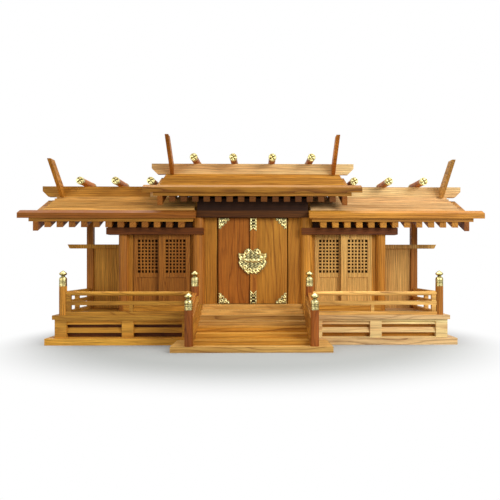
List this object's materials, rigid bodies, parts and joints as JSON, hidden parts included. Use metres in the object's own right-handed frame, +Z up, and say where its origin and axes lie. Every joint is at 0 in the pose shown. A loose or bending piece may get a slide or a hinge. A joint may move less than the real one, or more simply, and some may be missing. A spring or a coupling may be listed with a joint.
{
  "type": "household shrine altar",
  "caption": "Household altar of joined shrines under gabled stepped-board roofs, with stairs, a railed deck, hinged centre doors and sliding lattice doors.",
  "frame": {"origin": "on the surface that the altar stands on, under the middle of the front edge of the centre shrine's floor", "axes": "+X to the right of someone who faces the doors, -Y out of the front with the stairs, +Z up"},
  "size_m": [0.753, 0.2773, 0.3352],
  "materials": {
    "zelkova": "oiled satin",
    "heartwood": "oiled satin",
    "brass": "polished"
  },
  "bodies": {
    "shrine": {"wing_base": "zelkova", "stair_base": "zelkova", "plinth_walls": "zelkova", "left_plinth_front": "zelkova", "right_plinth_front": "zelkova", "deck": "zelkova", "step_1": "zelkova", "step_2": "zelkova", "step_3": "zelkova", "step_4": "zelkova", "step_5": "zelkova", "step_6": "zelkova", "step_7": "zelkova", "stair_sides": "zelkova", "stair_handrails": "zelkova", "left_railing": "zelkova", "right_railing": "zelkova", "railing_posts": "heartwood", "post_caps": "brass", "columns": "zelkova", "centre_floor": "zelkova", "centre_walls": "zelkova", "outer_walls": "zelkova", "back_wall": "zelkova", "door_jambs": "heartwood", "wing_sills": "zelkova", "centre_lintel": "zelkova", "wing_lintels": "zelkova", "wall_plates": "heartwood", "ridge_posts": "zelkova", "side_screens": "zelkova", "roof_base_boards": "heartwood", "eave_boards": "zelkova", "centre_shingles": "zelkova", "left_shingles": "zelkova", "right_shingles": "zelkova", "centre_rafters": "heartwood", "left_rafters": "heartwood", "right_rafters": "heartwood", "bargeboards": "heartwood", "ridge_boards": "zelkova", "ridge_logs": "zelkova", "log_caps": "brass", "roof_horns": "zelkova"},
    "left_main_door": {"left_main_door": "zelkova", "left_door_brass": "brass"},
    "right_main_door": {"right_main_door": "zelkova", "closing_batten": "zelkova", "right_door_brass": "brass"},
    "left_outer_panel": {"left_outer_panel": "zelkova"},
    "left_inner_panel": {"left_inner_panel": "zelkova"},
    "right_inner_panel": {"right_inner_panel": "zelkova"},
    "right_outer_panel": {"right_outer_panel": "zelkova"}
  },
  "joints": [
    {"name": "left_main_door_hinge", "type": "hinge", "parent": "shrine", "child": "left_main_door", "pos_m": [-0.0539, 0.0065, 0.1272], "axis": [0, 0, -1], "range_deg": [0, 100]},
    {"name": "right_main_door_hinge", "type": "hinge", "parent": "shrine", "child": "right_main_door", "pos_m": [0.0539, 0.0065, 0.1272], "axis": [0, 0, 1], "range_deg": [0, 100]},
    {"name": "left_outer_panel_slide", "type": "slide", "parent": "shrine", "child": "left_outer_panel", "axis": [1, 0, 0], "range_m": [0, 0.043]},
    {"name": "left_inner_panel_slide", "type": "slide", "parent": "shrine", "child": "left_inner_panel", "axis": [-1, 0, 0], "range_m": [0, 0.043]},
    {"name": "right_inner_panel_slide", "type": "slide", "parent": "shrine", "child": "right_inner_panel", "axis": [1, 0, 0], "range_m": [0, 0.043]},
    {"name": "right_outer_panel_slide", "type": "slide", "parent": "shrine", "child": "right_outer_panel", "axis": [-1, 0, 0], "range_m": [0, 0.043]}
  ]
}
